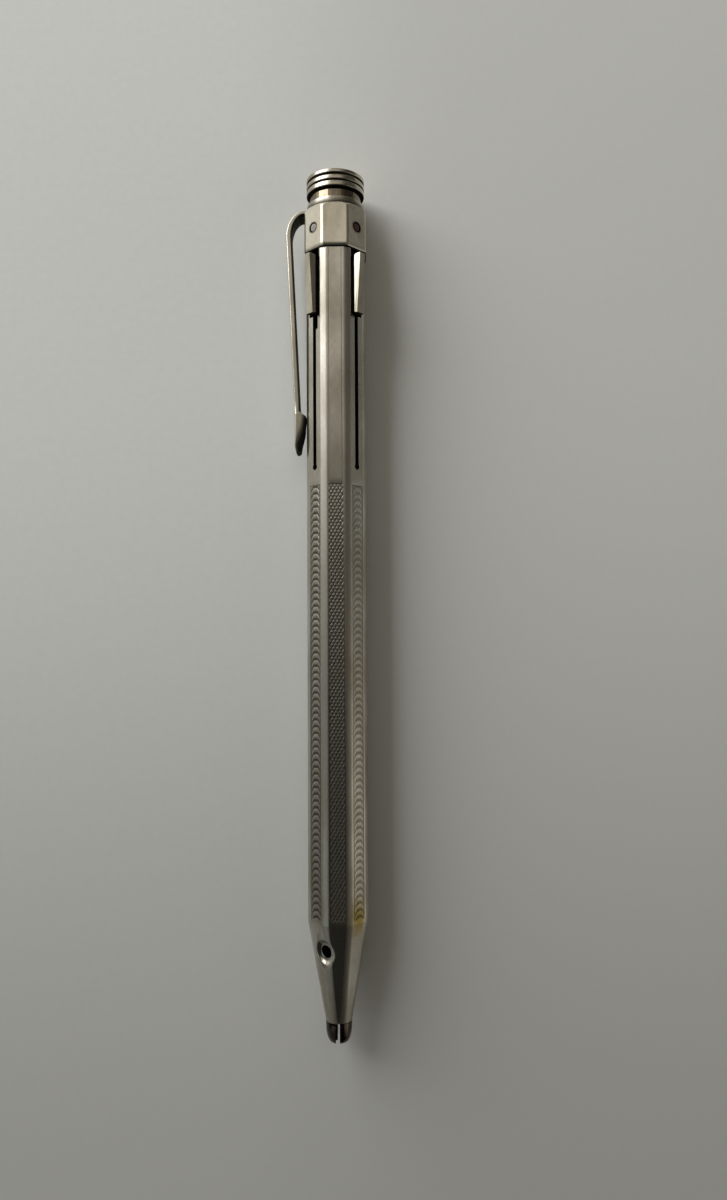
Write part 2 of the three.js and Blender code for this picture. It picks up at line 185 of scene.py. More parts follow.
def mesh_object(name, vertices, faces, smooth_angle=40):
    """Vertices are x, station and height above the axis."""
    points = np.array(vertices, float).reshape(-1, 3) * MM
    points[:, 1] += TIP
    points[:, 2] += AXIS
    mesh = bpy.data.meshes.new(name)
    mesh.from_pydata(points.tolist(), [], faces)
    mesh.shade_smooth()
    mesh.set_sharp_from_angle(angle=math.radians(smooth_angle))
    piece = bpy.data.objects.new(name, mesh)
    bpy.context.scene.collection.objects.link(piece)
    return piece


def add_attribute(piece, word, values):
    attribute = piece.data.attributes.new(word, "FLOAT", "POINT")
    attribute.data.foreach_set("value", np.asarray(values, np.float32))


def dress(piece, material, body=None, nodes=()):
    if piece.data.materials:
        piece.data.materials.clear()
    for one in material if isinstance(material, list) else [material]:
        piece.data.materials.append(one)
    if body:
        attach(piece, body)
        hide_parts(*nodes)


def make_camera():
    """A phone lens straight above the pencil, tilted a little towards its cap."""
    data = bpy.data.cameras.new("camera")
    data.sensor_width = SENSOR
    data.lens = SENSOR * FOCAL_PIXELS / PHOTO_HEIGHT
    data.clip_start = 0.001
    camera = bpy.data.objects.new("camera", data)
    camera.location = [value * MM for value in CAMERA_PLACE]
    camera.rotation_euler = (math.radians(CAMERA_TILT), 0, math.radians(CAMERA_ROLL))
    bpy.context.scene.collection.objects.link(camera)
    bpy.context.scene.camera = camera


class Nodes:
    """Short ways to add and join shader nodes."""

    def __init__(self, tree):
        self.tree = tree

    def add(self, kind, **values):
        node = self.tree.nodes.new(kind)
        for key, value in values.items():
            setattr(node, key, value)
        return node

    def link(self, source, target):
        self.tree.links.new(source, target)

    def coordinates(self, scale):
        place = self.add("ShaderNodeTexCoord")
        mapping = self.add("ShaderNodeMapping")
        mapping.inputs["Scale"].default_value = scale
        self.link(place.outputs["Object"], mapping.inputs["Vector"])
        return mapping.outputs["Vector"]

    def noise(self, scale, detail=3, roughness=0.5):
        texture = self.add("ShaderNodeTexNoise")
        texture.inputs["Scale"].default_value = 1
        texture.inputs["Detail"].default_value = detail
        texture.inputs["Roughness"].default_value = roughness
        self.link(self.coordinates(scale), texture.inputs["Vector"])
        return texture.outputs["Fac"]

    def ramp(self, source, stops):
        node = self.add("ShaderNodeValToRGB")
        elements = node.color_ramp.elements
        while len(elements) < len(stops):
            elements.new(0.5)
        for element, (place, colour) in zip(elements, stops):
            element.position = place
            element.color = (*colour, 1)
        self.link(source, node.inputs["Fac"])
        return node.outputs["Color"]

    def range(self, source, from_low, from_high, to_low, to_high, smooth=False):
        node = self.add("ShaderNodeMapRange")
        node.interpolation_type = "SMOOTHSTEP" if smooth else "LINEAR"
        for socket, value in zip(("From Min", "From Max", "To Min", "To Max"),
                                 (from_low, from_high, to_low, to_high)):
            node.inputs[socket].default_value = value
        self.link(source, node.inputs["Value"])
        return node.outputs["Result"]

    def math(self, operation, a, b):
        node = self.add("ShaderNodeMath")
        node.operation = operation
        for socket, value in zip(node.inputs, (a, b)):
            if isinstance(value, (int, float)):
                socket.default_value = value
            else:
                self.link(value, socket)
        return node.outputs["Value"]

    def product(self, *factors):
        result = factors[0]
        for factor in factors[1:]:
            result = self.math("MULTIPLY", result, factor)
        return result

    def plus(self, value, extra, share):
        """A value with a share of another one added."""
        return self.math("ADD", value, self.math("MULTIPLY", extra, share))

    def attribute(self, word):
        return self.add("ShaderNodeAttribute", attribute_name=word).outputs["Fac"]

    def mix(self, factor, a, b):
        node = self.add("ShaderNodeMix")
        node.data_type = "RGBA"
        for socket, value in ((node.inputs[0], factor), (node.inputs[6], a), (node.inputs[7], b)):
            if isinstance(value, (int, float)):
                socket.default_value = value
            elif isinstance(value, tuple):
                socket.default_value = (*value, 1)
            else:
                self.link(value, socket)
        return node.outputs[2]


def new_material(name):
    material = bpy.data.materials.new(name)
    material.use_nodes = True
    shader = material.node_tree.nodes["Principled BSDF"]
    return material, shader, Nodes(material.node_tree)


def blotch(nodes, place, size):
    """How much a spot with an uneven edge covers a point. Place and size are in the frame's millimetres."""
    mapping = nodes.add("ShaderNodeMapping")
    mapping.inputs["Scale"].default_value = [1 / (s * MM) for s in size]
    mapping.inputs["Location"].default_value = [-p / s for p, s in zip(place, size)]
    nodes.link(nodes.add("ShaderNodeTexCoord").outputs["Object"], mapping.inputs["Vector"])
    length = nodes.add("ShaderNodeVectorMath", operation="LENGTH")
    nodes.link(mapping.outputs["Vector"], length.inputs[0])
    edge = nodes.plus(length.outputs["Value"], nodes.noise((900, 500, 900), 3, 0.6), 0.9)
    return nodes.range(edge, 0.7, 1.4, 0.95, 0, smooth=True)


def silver(name, bright, dull, roughness, engraved=False, stain=None, shade_right_faces=False):
    """Old silver: dull patches, fine lengthwise scratches, and grime with painted shade in the engraving,
    hollows and joints.

    Painted shade makes faces that look towards the tip nearly black. When asked, painted shade also darkens
    the faces that look to the right.
    """
    material, shader, nodes = new_material(name)
    shader.inputs["Metallic"].default_value = 1
    patches = nodes.noise((220, 90, 220), 4, 0.6)
    specks = nodes.noise((2600, 1500, 2600), 3, 0.6)
    colour = nodes.ramp(patches, [(0.35, dull), (0.62, bright)])
    colour = nodes.mix(nodes.range(specks, 0.52, 0.75, 0, 0.35), colour, dull)
    rough = nodes.range(patches, 0.3, 0.7, roughness + 0.07, roughness - 0.04)
    if stain:
        spot = blotch(nodes, *stain)
        colour = nodes.mix(spot, colour, STAIN)
        rough = nodes.plus(rough, spot, 0.15)
    normal = nodes.add("ShaderNodeSeparateXYZ")
    nodes.link(nodes.add("ShaderNodeTexCoord").outputs["Normal"], normal.inputs["Vector"])
    # Painted shade by the way a face looks: darker and rougher towards the tip, and to the right when asked
    painted_shade = nodes.range(normal.outputs["Y"], -0.45, -0.8, 0, 0.94, smooth=True)
    if shade_right_faces:
        inner = nodes.range(normal.outputs["X"], 0.3, 0.8, 0, 0.9, smooth=True)
        painted_shade = nodes.math("MAXIMUM", painted_shade, inner)
    colour = nodes.mix(painted_shade, colour, PAINTED_SHADE_COLOUR)
    rough = nodes.plus(rough, painted_shade, 0.55)
    if engraved:
        # Grime in the engraved lines, and painted shade in hollows, along edges and between parts, read from
        # a mesh attribute
        grime_and_shade = nodes.range(nodes.attribute("grime_and_shade"), 0.05, 1, 0, 0.95)
        colour = nodes.mix(grime_and_shade, colour, GRIME_AND_SHADE_COLOUR)
        rough = nodes.plus(rough, grime_and_shade, 0.3)
        rough = nodes.plus(rough, nodes.attribute("wear"), CORNER_WEAR)
    nodes.link(colour, shader.inputs["Base Color"])
    nodes.link(rough, shader.inputs["Roughness"])
    lines = nodes.noise((5200, 260, 5200), 2, 0.5)
    bump = nodes.add("ShaderNodeBump")
    bump.inputs["Strength"].default_value = SCRATCH
    bump.inputs["Distance"].default_value = SCRATCH_DEPTH
    nodes.link(nodes.plus(lines, specks, 0.7), bump.inputs["Height"])
    nodes.link(bump.outputs["Normal"], shader.inputs["Normal"])
    return material


def mottled(name, scale, stops, rough, detail=3):
    """A material whose colour and roughness follow one noise."""
    material, shader, nodes = new_material(name)
    grain = nodes.noise(scale, detail, 0.6)
    nodes.link(nodes.ramp(grain, stops), shader.inputs["Base Color"])
    nodes.link(nodes.range(grain, 0.3, 0.7, *rough), shader.inputs["Roughness"])
    return material, shader


def inside_shade_material(name):
    """Painted shade: a near-black material for the unlit inside of the pencil."""
    stops = [(0.35, (0.002, 0.0018, 0.0015)), (0.65, (0.005, 0.0045, 0.004))]
    material, shader = mottled(name, (700, 500, 700), stops, (0.95, 0.8))
    shader.inputs["Specular IOR Level"].default_value = 0.05
    return material


def plain_metal(name, colour, dull, roughness):
    stops = [(0.35, dull), (0.65, colour)]
    material, shader = mottled(name, (700, 500, 700), stops, (roughness + 0.08, roughness - 0.05))
    shader.inputs["Metallic"].default_value = 1
    return material


def enamel(name, colour, dark):
    return mottled(name, (1500, 1500, 1500), [(0.38, dark), (0.62, colour)], (0.45, 0.25))[0]


def graphite(name, colour, dark):
    return mottled(name, (3000, 900, 3000), [(0.35, dark), (0.65, colour)], (0.6, 0.42), 4)[0]


# The barrel and the collar are grids, with rows at stations and the same columns across each face.
# Column places across half a face, in millimetres, and the ones that openings and lines move
COLUMNS = [0.0225 + 0.045 * k for k in range(22)] + [1.0, 1.05, 1.1, 1.16]
SLOT_COLUMN = 8
NOTCH_COLUMN = 15
LINE_COLUMN = 20
WINDOW_COLUMN = 23
ARC_COLUMNS = 3
COLUMNS_PER_FACE = 2 * (len(COLUMNS) + 1) + ARC_COLUMNS


def half_flat(flat, turned):
    return math.sqrt(max(turned ** 2 - flat ** 2, 1e-8))


def mirrored(places):
    return [-p for p in reversed(places)] + list(places)


def slot_columns(places, half):
    """Moves the columns beside a slot so that two of them lie on its edges."""
    moved = list(places)
    for k in range(SLOT_COLUMN):
        moved[k] = min(places[k], half * (k + 1) / (SLOT_COLUMN + 1))
    moved[SLOT_COLUMN] = half
    for k in range(1, 5):
        moved[SLOT_COLUMN + k] = max(places[SLOT_COLUMN + k], half + 0.02 * k)
    return moved


def section(flat, turned, places, full_half):
    """Local x and height of one face's columns, from its left edge to its right edge."""
    half = half_flat(flat, turned)
    scale = half / full_half
    across = [p * scale for p in mirrored(list(places) + [full_half])]
    return [(u, flat) for u in across]


def round_section(radius, places, full_half, flat):
    """The same columns on a circle, so that the walls of a slot stay parallel."""
    angles = []
    limit = WINDOW_HALF
    edge_angle = math.atan(full_half / flat)
    for u in mirrored(list(places) + [full_half]):
        size = abs(u)
        angle = math.asin(min(size, limit) / radius)
        if size > limit:
            angle += (size - limit) / (full_half - limit) * (edge_angle - angle)
        angles.append(math.copysign(angle, u))
    return [(radius * math.sin(a), radius * math.cos(a)) for a in angles]


def around(local_faces, turned_radius):
    """Puts eight faces' local columns round the axis, with corner columns between them."""
    row = []
    for k in range(8):
        turn = math.radians(45 * k)
        local = local_faces[k]
        for x, z in local:
            row.append((x * math.cos(turn) + z * math.sin(turn), -x * math.sin(turn) + z * math.cos(turn)))
        start = math.atan2(*local[-1])
        following = local_faces[(k + 1) % 8]
        stop = math.radians(45) + math.atan2(*following[0])
        for i in range(1, ARC_COLUMNS + 1):
            angle = turn + start + (stop - start) * i / (ARC_COLUMNS + 1)
            row.append((turned_radius * math.sin(angle), turned_radius * math.cos(angle)))
    return row


def face_axes(degrees):
    """The directions out of a face and across it."""
    turn = math.radians(degrees)
    return np.array([math.sin(turn), 0, math.cos(turn)]), np.array([math.cos(turn), 0, -math.sin(turn)])


def column_of(degrees, place, side):
    """The grid column at a place of COLUMNS, on one side of a face."""
    base = (degrees // 45) % 8 * COLUMNS_PER_FACE
    half = len(COLUMNS) + 1
    return base + (half + place if side > 0 else half - 1 - place)


def shell(name, outer, inner, keep, inner_rows, grime_and_shade, wear):
    """A closed wall between two grids of points. Cells that aren't kept are openings through it.

    The inside and the walls of the openings have the second material, which is painted shade. Only inner_rows
    are used on the inside.
    """
    rows, columns = outer.shape[:2]
    used = {r: i for i, r in enumerate(inner_rows)}
    vertices = np.concatenate([outer.reshape(-1, 3), inner[inner_rows].reshape(-1, 3)])
    offset = rows * columns

    def out(r, c):
        return r * columns + c % columns

    def inn(r, c):
        return offset + used[r] * columns + c % columns

    faces = []
    kept = keep.tolist()
    for r in range(rows - 1):
        for c in range(columns):
            if kept[r][c]:
                faces.append((out(r, c), out(r, c + 1), out(r + 1, c + 1), out(r + 1, c)))
    last = rows - 1
    for c in range(columns):
        if kept[0][c]:
            faces.append((out(0, c), inn(0, c), inn(0, c + 1), out(0, c + 1)))
        if kept[last - 1][c]:
            faces.append((out(last, c), out(last, c + 1), inn(last, c + 1), inn(last, c)))
    outside_count = len(faces)
    for low, high in zip(inner_rows[:-1], inner_rows[1:]):
        for c in range(columns):
            if kept[low][c]:
                faces.append((inn(low, c), inn(high, c), inn(high, c + 1), inn(low, c + 1)))
    for r in range(rows - 1):
        for c in range(columns):
            if kept[r][c]:
                continue
            if kept[r][c - 1]:
                faces.append((out(r, c), inn(r, c), inn(r + 1, c), out(r + 1, c)))
            if kept[r][(c + 1) % columns]:
                faces.append((out(r, c + 1), out(r + 1, c + 1), inn(r + 1, c + 1), inn(r, c + 1)))
            if r > 0 and kept[r - 1][c]:
                faces.append((out(r, c), out(r, c + 1), inn(r, c + 1), inn(r, c)))
            if r < rows - 2 and kept[r + 1][c]:
                faces.append((out(r + 1, c + 1), out(r + 1, c), inn(r + 1, c), inn(r + 1, c + 1)))
    piece = mesh_object(name, vertices, faces)
    second = [0] * outside_count + [1] * (len(faces) - outside_count)
    piece.data.polygons.foreach_set("material_index", second)
    for word, grid in (("grime_and_shade", grime_and_shade), ("wear", wear)):
        add_attribute(piece, word, np.concatenate([grid.reshape(-1), np.zeros(len(inner_rows) * columns)]))
    return piece


def round_hole(outer, inner, keep, degrees, at, radius, reach, longer=1):
    """Opens a round hole: drops the cells inside it and moves the vertices round them onto its circle."""
    direction, side = face_axes(degrees)
    aside = outer @ side
    along = (outer[:, :, 1] - at) / longer
    near = (outer @ direction > 0) & (np.abs(along) < reach) & (np.abs(aside) < reach)
    inside = near & (aside ** 2 + along ** 2 < radius ** 2)
    columns = outer.shape[1]
    inside = inside.astype(int)
    beside = inside[:-1] + inside[1:]
    removed = beside + np.roll(beside, -1, axis=1) >= 2
    keep[removed] = False
    touched = np.zeros(inside.shape, bool)
    for r, c in np.argwhere(removed):
        for row, column in ((r, c), (r + 1, c), (r, (c + 1) % columns), (r + 1, (c + 1) % columns)):
            touched[row, column] = True
    for r, c in np.argwhere(touched):
        around_cells = [(r - 1, c - 1), (r - 1, c), (r, c - 1), (r, c)]
        if all(removed[i, j % columns] for i, j in around_cells):
            continue
        distance = math.hypot(aside[r, c], along[r, c])
        factor = radius / max(distance, 1e-6)
        step_aside = aside[r, c] * (factor - 1)
        step_along = along[r, c] * longer * (factor - 1)
        outer[r, c] += side * step_aside + np.array([0, step_along, 0])
        bore = math.hypot(inner[r, c, 0], inner[r, c, 2])
        new_aside = aside[r, c] * factor
        depth = math.sqrt(max(bore ** 2 - new_aside ** 2, 0.01))
        inner[r, c] = side * new_aside + direction * depth
        inner[r, c, 1] = outer[r, c, 1]


def groove(distance, width):
    return np.exp(-(distance / width) ** 2)


def chain(u, s):
    """Relief, and grime with painted shade, of the strip of nested arched links, on the faces with sliders.
    """
    drop = 0.55 * np.clip((np.abs(u) - 0.38) / 0.42, 0, 1) ** 1.3 - 0.06 * u
    t = (s + drop) / PITCH
    share = t - np.floor(t)
    inside = 1 / (1 + np.exp((np.abs(u) - 0.82) / 0.02))
    hollow = HOLLOW_DEPTH * (1 - np.clip(share / 0.75, 0, 1))
    hollow = hollow + STEP_DEPTH * np.clip((share - 0.8) / 0.2, 0, 1) ** 2
    # Painted shade in the hollow below each arch, darkest above the next one; the frame line holds grime
    dark = 0.9 * np.clip((0.5 - share) / 0.2, 0, 1) + 0.35 * np.clip((0.75 - share) / 0.15, 0, 1)
    frame_cut = groove(np.abs(u) - LINE, 0.1)
    return hollow * inside + FRAME_DEPTH * frame_cut, np.maximum(np.minimum(dark, 0.9) * inside, frame_cut)


def lattice(u, s):
    """Relief and grime in the grooves of the strip of crossed wavy lines, on the faces between the sliders.
    """
    cut = np.zeros(u.shape)
    for k in range(-3, 4):
        wave = 0.265 * k + 0.135 * np.sin(2 * math.pi * s / PITCH + math.pi * k)
        cut = np.maximum(cut, groove(u - wave, 0.088) * (1 if abs(k) > 1 else 0.85))
    cut = cut * (np.abs(u) < 1.02)
    return WAVE_DEPTH * cut, cut


def strip_mask(s):
    """One on the strips, with soft ends."""
    return np.clip((s - STRIP_LOW_AT) / 0.1 + 0.5, 0, 1) * np.clip((STRIP_HIGH_AT - s) / 0.1 + 0.5, 0, 1)


def engraving(face, u, s):
    """Relief, and grime with painted shade, across one face at one station."""
    relief, grime_and_shade = lattice(u, s) if face % 90 == 0 else chain(u, s)
    strength = strip_mask(s) * (FAINT if face == FAINT_FACE else 1)
    relief, grime_and_shade = relief * strength, grime_and_shade * strength
    if face % 90 == 0:
        lines = groove(np.abs(u) - LINE, LINE_WIDTH) * (s > STRIP_HIGH_AT) * (s < BARREL_TOP_AT)
        relief = relief + LINE_DEPTH * lines
        grime_and_shade = grime_and_shade + 0.95 * lines
    end_line = groove(s - STRIP_HIGH_AT - 0.02, 0.07) * (np.abs(u) < 1.0)
    return relief + END_LINE_DEPTH * end_line, np.maximum(grime_and_shade, end_line)


def corner_wear(grid):
    """One on the rounded corners between the faces."""
    wear = np.zeros(grid.shape[:2])
    for k in range(8):
        stop = (k + 1) * COLUMNS_PER_FACE
        wear[:, stop - ARC_COLUMNS - 1:stop] = 1
        wear[:, stop % wear.shape[1]] = 1
    return wear


def barrel_stations():
    """Stations of the rows, and the first and last-plus-one of the rows that the strips take."""
    stations = [RIM_AT, RIM_AT + 0.05, RIM_AT + 0.15]
    stations += list(np.arange(RIM_AT + 0.6, 10.2, 0.45))
    stations += list(np.arange(10.2, 16.5, 0.14))
    stations += [16.7, 17.0, 17.18, CONE_START_AT, 17.42, 17.6, 17.75]
    count = round((STRIP_HIGH_AT - STRIP_LOW_AT) / STRIP_ROW)
    strip_start = len(stations)
    stations += list(np.linspace(STRIP_LOW_AT, STRIP_HIGH_AT, count + 1))
    strip_stop = len(stations)
    stations += [79.3, 79.4, 80.2, 81.0]
    relief_angles = [12, 30, 50, 70, 90, 110, 125, 180 - math.degrees(math.asin(SLOT_HALF / RELIEF))]
    stations += [RELIEF_AT - RELIEF * math.cos(math.radians(angle)) for angle in relief_angles]
    stations += list(np.arange(83.0, NOTCH_END_AT - 0.5, 1.0))
    stations += [NOTCH_END_AT, 102.6, 103.3, WINDOW_END_AT]
    stations += list(np.arange(105.0, BARREL_TOP_AT - 0.8, 1.0))
    stations += [BARREL_TOP_AT - 0.12, BARREL_TOP_AT]
    return stations, strip_start, strip_stop


def barrel_section_sizes(at):
    share = min(max((at - RIM_AT) / (CONE_START_AT - RIM_AT), 0), 1)
    flat = RIM_RADIUS + (BARREL_FLAT - RIM_RADIUS) * share
    turned = RIM_RADIUS + (BARREL_TURNED - RIM_RADIUS) * share
    return flat, turned


def bore_at(at):
    if at >= SHOULDER_AT:
        return BORE
    low = RIM_RADIUS - RIM_WALL
    return low + (SHOULDER_RADIUS - low) * (at - RIM_AT) / (SHOULDER_AT - RIM_AT)


def slot_half_at(at):
    """Half the width of a slot, or of the round relief at its lower end."""
    square = RELIEF ** 2 - (at - RELIEF_AT) ** 2
    if at > RELIEF_AT and square < SLOT_HALF ** 2:
        return SLOT_HALF
    return math.sqrt(max(square, SLOT_HALF ** 2 * 0.01))


def columns_at(at, face):
    """Where the columns lie across one face, moved onto the openings and lines that it has there."""
    if face % 90 == 0:
        places = list(COLUMNS)
        if at > STRIP_HIGH_AT + 0.05:
            places[LINE_COLUMN - 1:LINE_COLUMN + 2] = [LINE - LINE_WIDTH, LINE, LINE + LINE_WIDTH]
        return places
    if at < SLOT_END_AT:
        return COLUMNS
    places = slot_columns(COLUMNS, slot_half_at(at))
    if at >= NOTCH_END_AT:
        places[NOTCH_COLUMN] = NOTCH_HALF
    places[WINDOW_COLUMN] = WINDOW_HALF
    return places


def dish(points):
    """Pushes in the leaf-shaped hollow on the nose and the steep cone round its hole."""
    direction, side = face_axes(HOLE_ANGLE)
    aside = points @ side
    along = points[:, :, 1] - HOLE_AT
    facing = points @ direction > 0
    leaf = np.clip(1 - (aside / 1.3) ** 2 - ((along - 0.5) / 2.9) ** 2, 0, 1) * facing
    cone = np.clip((1.6 - np.hypot(aside, along * 0.8)) / 0.75, 0, 1) * facing
    cone = cone * cone * (3 - 2 * cone)
    points -= (LEAF_DEPTH * leaf ** 1.15 + CONE_DEPTH * cone)[:, :, None] * direction
    return leaf


def bore_section(at, local, places, full_half):
    """The bore behind one face. Above the shoulder its columns keep the walls of a slot parallel."""
    radius = bore_at(at)
    if at > SHOULDER_AT:
        return round_section(radius, places, full_half, BARREL_FLAT)
    angles = [math.atan2(x, z) for x, z in local]
    return [(radius * math.sin(a), radius * math.cos(a)) for a in angles]


def open_slots(keep, stations):
    """Opens the slots, the windows above them and the notch beside the first slot."""
    for face in SLIDER_FACES:
        for row, (below, above) in enumerate(zip(stations[:-1], stations[1:])):
            middle = (below + above) / 2
            if SLOT_END_AT < middle < WINDOW_END_AT:
                left, right = column_of(face, SLOT_COLUMN, -1), column_of(face, SLOT_COLUMN, 1)
                if face == SLIDER_FACES[0] and middle > NOTCH_END_AT:
                    right = column_of(face, NOTCH_COLUMN, 1)
                keep[row, left:right] = False
            elif WINDOW_END_AT < middle < WINDOW_TOP_AT:
                keep[row, column_of(face, WINDOW_COLUMN, -1):column_of(face, WINDOW_COLUMN, 1)] = False


def make_barrel(material):
    full_half = half_flat(BARREL_FLAT, BARREL_TURNED)
    stations, strip_start, strip_stop = barrel_stations()
    outer, inner, grime_and_shade_grid = [], [], []
    for at in stations:
        flat, turned = barrel_section_sizes(at)
        faces, bores, grime_and_shade_row = [], [], []
        for face in range(0, 360, 45):
            places = columns_at(at, face)
            local = section(flat, turned, places, full_half)
            u = np.array([x for x, z in local])
            relief, grime_and_shade = engraving(face, u, np.full(u.shape, at))
            faces.append([(x, z - depth) for (x, z), depth in zip(local, relief)])
            bores.append(bore_section(at, local, places, full_half))
            grime_and_shade_row += list(grime_and_shade) + [0] * ARC_COLUMNS
        grime_and_shade_grid.append(grime_and_shade_row)
        outer.append([(x, at, z) for x, z in around(faces, turned)])
        inner.append([(x, at, z) for x, z in around(bores, bore_at(at))])
    # The tenon inside the collar
    for at in (BARREL_TOP_AT, WINDOW_TOP_AT, TENON_TOP_AT):
        places = [columns_at(at, face) for face in range(0, 360, 45)]
        for grid, radius in ((outer, TENON_RADIUS), (inner, BORE)):
            local = [round_section(radius, across, full_half, BARREL_FLAT) for across in places]
            grid.append([(x, at, z) for x, z in around(local, radius)])
        grime_and_shade_grid.append([0] * len(grime_and_shade_grid[0]))
        stations.append(at)
    outer = np.array(outer)
    inner = np.array(inner)
    grime_and_shade_grid = np.array(grime_and_shade_grid, float)
    keep = np.ones((len(stations) - 1, outer.shape[1]), bool)
    open_slots(keep, stations)
    # Painted shade in the leaf-shaped hollow round the nose hole
    grime_and_shade_grid += 0.3 * dish(outer) ** 2
    round_hole(outer, inner, keep, HOLE_ANGLE, HOLE_AT, HOLE_RADIUS, 1.4, HOLE_STRETCH)
    # The inside has no engraving, so it leaves out the rows between the ends of the strips
    inner_rows = [r for r in range(len(stations)) if r <= strip_start or r >= strip_stop - 1]
    piece = shell("barrel_skin", outer, inner, keep, inner_rows, grime_and_shade_grid, corner_wear(outer))
    dress(piece, material, "pencil", ["barrel"])


def make_collar(material):
    full_half = half_flat(COLLAR_FLAT, COLLAR_TURNED)
    dot_at = (COLLAR_AT + COLLAR_TOP_AT) / 2
    clip_notch_at = ends("clip")[1] - CLIP_ROOT_THICKNESS - JOINT_GAP
    low_edge, chamfer, top_edge = 0.12, 0.45, 0.07
    stations = [COLLAR_AT + rise for rise in (0, 0.04, low_edge, 0.7, 1.4)]
    stations += list(np.arange(dot_at - 1.2, dot_at + 1.25, 0.12))
    stations += [119.0, clip_notch_at]
    stations += [COLLAR_TOP_AT - drop for drop in (0.55, chamfer, 0.3, 0.16, top_edge, 0.02, 0)]
    stretch = full_half / half_flat(BARREL_FLAT, BARREL_TURNED)
    places = [p * (1 + (stretch - 1) * (p / COLUMNS[-1]) ** 2) for p in COLUMNS]
    outer, inner = [], []
    for at in stations:
        low = max(0, COLLAR_AT + low_edge - at) / low_edge
        cut = max(0, at - (COLLAR_TOP_AT - chamfer)) / chamfer
        top = max(0, at - (COLLAR_TOP_AT - top_edge)) / top_edge
        flat = COLLAR_FLAT - 0.1 * low ** 2 - 0.05 * top ** 2
        turned = COLLAR_TURNED - 0.1 * low ** 2 - (COLLAR_TURNED - COLLAR_FLAT) * cut ** 1.6
        turned = max(turned - 0.05 * top ** 2, flat + 0.0008)
        local = section(flat, turned, places, full_half)
        bores = round_section(COLLAR_BORE, places, full_half, COLLAR_FLAT)
        outer.append([(x, at, z) for x, z in around([local] * 8, turned)])
        inner.append([(x, at, z) for x, z in around([bores] * 8, COLLAR_BORE)])
    outer = np.array(outer)
    inner = np.array(inner)
    keep = np.ones((len(stations) - 1, outer.shape[1]), bool)
    columns = outer.shape[1]
    # The clip comes out through a notch in the top of the left face
    middle_left = (column_of(-90, len(COLUMNS), -1) - 2) % columns
    middle_right = (column_of(-90, len(COLUMNS), 1) + 2) % columns
    for r in range(len(stations) - 1):
        if (stations[r] + stations[r + 1]) / 2 > clip_notch_at:
            keep[r, middle_left:middle_right] = False
    # Painted shade along the lower edge over the barrel and the top edge under the ring; darker too in a ring
    # round each dot hole
    grime_and_shade_grid = np.zeros(outer.shape[:2])
    grime_and_shade_grid[0] = 1
    grime_and_shade_grid[1] = 0.15
    grime_and_shade_grid[-1] = 1
    grime_and_shade_grid[-2] = 0.6
    for face in SLIDER_FACES:
        direction, side = face_axes(face)
        facing = outer @ direction > 0
        from_dot = np.hypot(outer @ side, outer[:, :, 1] - dot_at)
        grime_and_shade_grid[facing] = np.maximum(grime_and_shade_grid, np.clip((0.97 - from_dot) / 0.14, 0, 1) * 0.85)[facing]
        round_hole(outer, inner, keep, face, dot_at, DOT_HOLE_RADIUS, 1.2)
    piece = shell("collar_skin", outer, inner, keep, list(range(len(stations))), grime_and_shade_grid, corner_wear(outer))
    dress(piece, material, "pencil", ["collar"])


def rounded(profile, radius, steps=4):
    """Softens the corners of a closed outline of (radius, station) points that are off the axis."""
    soft = []
    count = len(profile)
    for i, (r, s) in enumerate(profile):
        if r < 1e-6:
            soft.append((r, s))
            continue
        before = np.array(profile[i - 1], float)
        here = np.array((r, s), float)
        after = np.array(profile[(i + 1) % count], float)
        reach = min(radius, 0.45 * np.linalg.norm(before - here), 0.45 * np.linalg.norm(after - here))
        start = here + (before - here) / np.linalg.norm(before - here) * reach
        stop = here + (after - here) / np.linalg.norm(after - here) * reach
        for k in range(steps + 1):
            t = k / steps
            soft.append(tuple((1 - t) ** 2 * start + 2 * t * (1 - t) * here + t ** 2 * stop))
    return soft


def lathe(name, profile, grime_and_shade_at, sides=128, closed=True):
    """A turned piece. The outside of the outline is listed from the tip end upwards."""
    vertices, faces, grime_and_shade_values = [], [], []
    count = len(profile)
    rows = []
    for r, s in profile:
        if r < 1e-6:
            rows.append([len(vertices)] * sides)
            vertices.append((0, s, 0))
            grime_and_shade_values.append(0)
            continue
        rows.append(list(range(len(vertices), len(vertices) + sides)))
        for i in range(sides):
            angle = 2 * math.pi * i / sides
            vertices.append((r * math.sin(angle), s, r * math.cos(angle)))
            grime_and_shade_values.append(grime_and_shade_at(r, s))
    for j in range(count if closed else count - 1):
        low, high = rows[j], rows[(j + 1) % count]
        for i in range(sides):
            quad = (low[i], low[(i + 1) % sides], high[(i + 1) % sides], high[i])
            corners = list(dict.fromkeys(quad))
            if len(corners) > 2:
                faces.append(tuple(corners))
    piece = mesh_object(name, vertices, faces)
    add_attribute(piece, "grime_and_shade", grime_and_shade_values)
    return piece


def make_push_cap(material):
    low, high = ends("push_cap")
    radius = half_across("push_cap")
    spigot, groove_depth = 3.11, 0.35
    rib_heights = (0.78, 0.68, 0.62)
    gaps = (0.19, 0.28, 0)
    at = high - sum(rib_heights) - sum(gaps)
    outline = [(0, low), (spigot, low), (spigot, at)]
    for rib, gap in zip(rib_heights, gaps):
        outline += [(radius, at), (radius, at + rib)]
        at += rib
        if gap:
            outline += [(radius - groove_depth, at), (radius - groove_depth, at + gap)]
            at += gap
    outline.append((0, high))
    rib_top = high - rib_heights[-1] - 0.05

    # Painted shade in the grooves between the ribs
    def grime_and_shade_at(r, s):
        return min(max((radius - 0.03 - r) / 0.1, 0), 1) if s < rib_top else 0

    piece = lathe("push_cap_turned", rounded(outline, 0.16), grime_and_shade_at, closed=False)
    dress(piece, material, "plunger", ["push_cap"])


